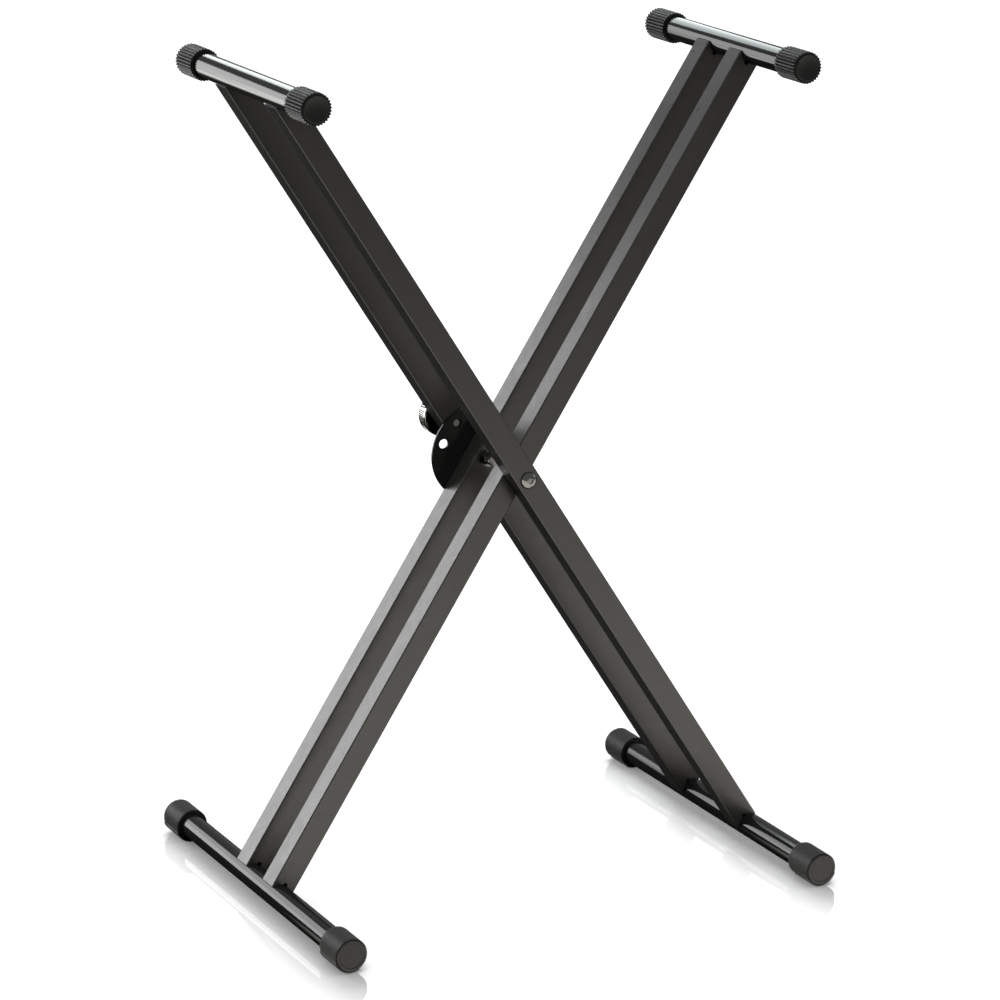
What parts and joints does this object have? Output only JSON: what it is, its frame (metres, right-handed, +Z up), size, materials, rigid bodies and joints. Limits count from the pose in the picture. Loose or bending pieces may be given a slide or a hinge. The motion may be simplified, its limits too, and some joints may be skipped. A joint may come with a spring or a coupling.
{
  "type": "keyboard stand",
  "caption": "Folding cross-leg keyboard stand: paired square-tube legs on pivot bolts, round bars with toothed rubber grips and ribbed rubber feet, and a pull-pin height lock.",
  "frame": {"origin": "on the floor, midway between the feet, straight under the pivot", "axes": "+Z up, X along the spread of the legs, -Y to the front where the plain pivot bolt head shows, +Y to the rear where the lock is"},
  "size_m": [0.561, 0.441, 0.8484],
  "materials": {
    "rail_paint": "satin powder coat",
    "bar_paint": "gloss black paint",
    "plate_paint": "gloss black paint",
    "grip_rubber": "moulded, matt",
    "foot_rubber": "moulded, matt",
    "plated_steel": "bright zinc plate",
    "knob_nickel": "bright nickel plate",
    "nylon": "black nylon"
  },
  "bodies": {
    "inner_frame": {"inner_rail_front": "rail_paint", "inner_rail_rear": "rail_paint", "inner_top_bar": "bar_paint", "inner_floor_bar": "bar_paint", "inner_grip_front": "grip_rubber", "inner_grip_rear": "grip_rubber", "inner_foot_front": "foot_rubber", "inner_foot_rear": "foot_rubber", "pivot_bush_front": "nylon", "pivot_bush_rear": "nylon", "lock_plate": "plate_paint", "plate_rivet_upper": "plated_steel", "plate_rivet_lower": "plated_steel"},
    "outer_frame": {"outer_rail_front": "rail_paint", "outer_rail_rear": "rail_paint", "outer_top_bar": "bar_paint", "outer_floor_bar": "bar_paint", "outer_grip_front": "grip_rubber", "outer_grip_rear": "grip_rubber", "outer_foot_front": "foot_rubber", "outer_foot_rear": "foot_rubber", "pivot_bolt_front": "plated_steel", "pivot_bolt_rear": "plated_steel", "crush_tube_front": "plated_steel", "crush_tube_rear": "plated_steel", "pivot_spacer_front": "nylon", "pivot_spacer_rear": "nylon", "nut_washer_front": "plated_steel", "nut_washer_rear": "plated_steel", "pivot_nut_front": "plated_steel", "pivot_nut_rear": "plated_steel", "pin_sleeve": "plated_steel", "brake_ring": "nylon"},
    "pull_pin": {"lock_pin": "plated_steel", "lock_knob": "knob_nickel", "knob_screw": "plated_steel"}
  },
  "joints": [
    {"name": "fold", "type": "hinge", "parent": "inner_frame", "child": "outer_frame", "pos_m": [0, 0, 0.42522], "axis": [0, 1, 0], "range_deg": [-37.3, 61.3]},
    {"name": "pin_slide", "type": "slide", "parent": "outer_frame", "child": "pull_pin", "axis": [0, 1, 0], "range_m": [-0.004, 0]}
  ]
}
